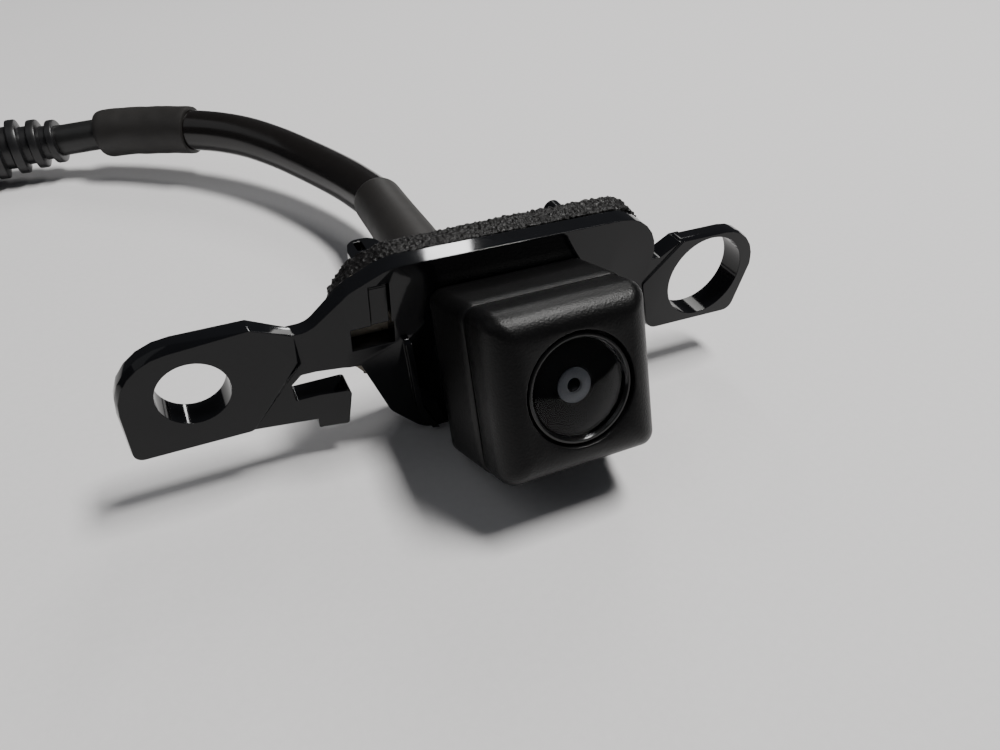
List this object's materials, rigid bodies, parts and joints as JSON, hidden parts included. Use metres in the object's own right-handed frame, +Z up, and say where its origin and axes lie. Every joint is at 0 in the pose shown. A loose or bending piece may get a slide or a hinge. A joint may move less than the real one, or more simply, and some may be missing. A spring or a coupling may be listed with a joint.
{
  "type": "backup camera",
  "caption": "Square-bodied reversing camera with a wide-angle lens on a two-eared plastic bracket, with foam gasket, booted lead, ribbed strain relief and round plug.",
  "frame": {"origin": "bottom centre of the camera and bracket's box, the lead and plug left out: on the plane of the bracket's lower edge", "axes": "+X to the right when facing the lens, along the two ears; +Y from the lens to the vehicle side, along the ears' holes; +Z up, so the lens looks towards -Y and up"},
  "size_m": [0.1434, 0.1471, 0.0285],
  "materials": {
    "head_shell": "fine spark-eroded grain, satin",
    "seal_rubber": "smooth",
    "ring_black": "polished",
    "lens_glass": "polished, coated",
    "barrel_black": "dull",
    "iris_pale": "dull pale grey",
    "inner_glass": "polished, coated",
    "filter_glass": "polished, coated",
    "sensor_die": "polished",
    "board_green": "solder mask",
    "connector_white": "smooth",
    "bright_steel": "plated",
    "bracket_gloss": "high gloss moulding",
    "liner_pale": "thin pale liner",
    "foam": "open-cell foam, coarse pores",
    "shrink_grey": "matte heat-shrink",
    "tube_gloss": "glossy",
    "cable_black": "satin",
    "relief_black": "satin",
    "plug_black": "satin",
    "contact_gold": "plated"
  },
  "bodies": {
    "camera": {"front_cover": "head_shell", "middle_housing": "head_shell", "rear_housing": "head_shell", "front_seal": "seal_rubber", "rear_seal": "seal_rubber", "lens_ring": "ring_black", "front_lens": "lens_glass", "lens_barrel": "barrel_black", "lens_o_ring": "seal_rubber", "iris_ring": "iris_pale", "second_lens": "inner_glass", "rear_lens": "inner_glass", "ir_filter": "filter_glass", "image_sensor": "sensor_die", "sensor_board": "board_green", "board_connector": "connector_white", "board_spacer": "barrel_black", "shield_can": "bright_steel", "main_board": "board_green", "cable_header": "connector_white", "housing_screws": "bright_steel", "board_screws": "bright_steel", "bracket": "bracket_gloss", "bracket_screws": "bright_steel", "adhesive_liner": "liner_pale", "foam_gasket": "foam", "cable_grommet": "seal_rubber", "boot": "shrink_grey", "lead_tube": "tube_gloss", "end_sleeve": "shrink_grey", "inner_cable": "cable_black", "strain_relief": "relief_black", "plug_body": "plug_black", "plug_insert": "connector_white", "plug_pins": "contact_gold", "plug_seal": "seal_rubber"},
    "nut": {"coupling_nut": "plug_black"},
    "tongue": {"snap_tongue": "bracket_gloss"}
  },
  "joints": [
    {"name": "coupling_nut_turn", "type": "hinge", "parent": "camera", "child": "nut", "pos_m": [-0.09, 0.121, 0.0076], "axis": [-1, 0, 0], "continuous": true},
    {"name": "snap_tongue_flex", "type": "hinge", "parent": "camera", "child": "tongue", "pos_m": [-0.0141, 0.00696, 0.0254], "axis": [1, 0, 0], "range_deg": [-5, 5], "stiffness_Nm_per_rad": 0.02}
  ]
}
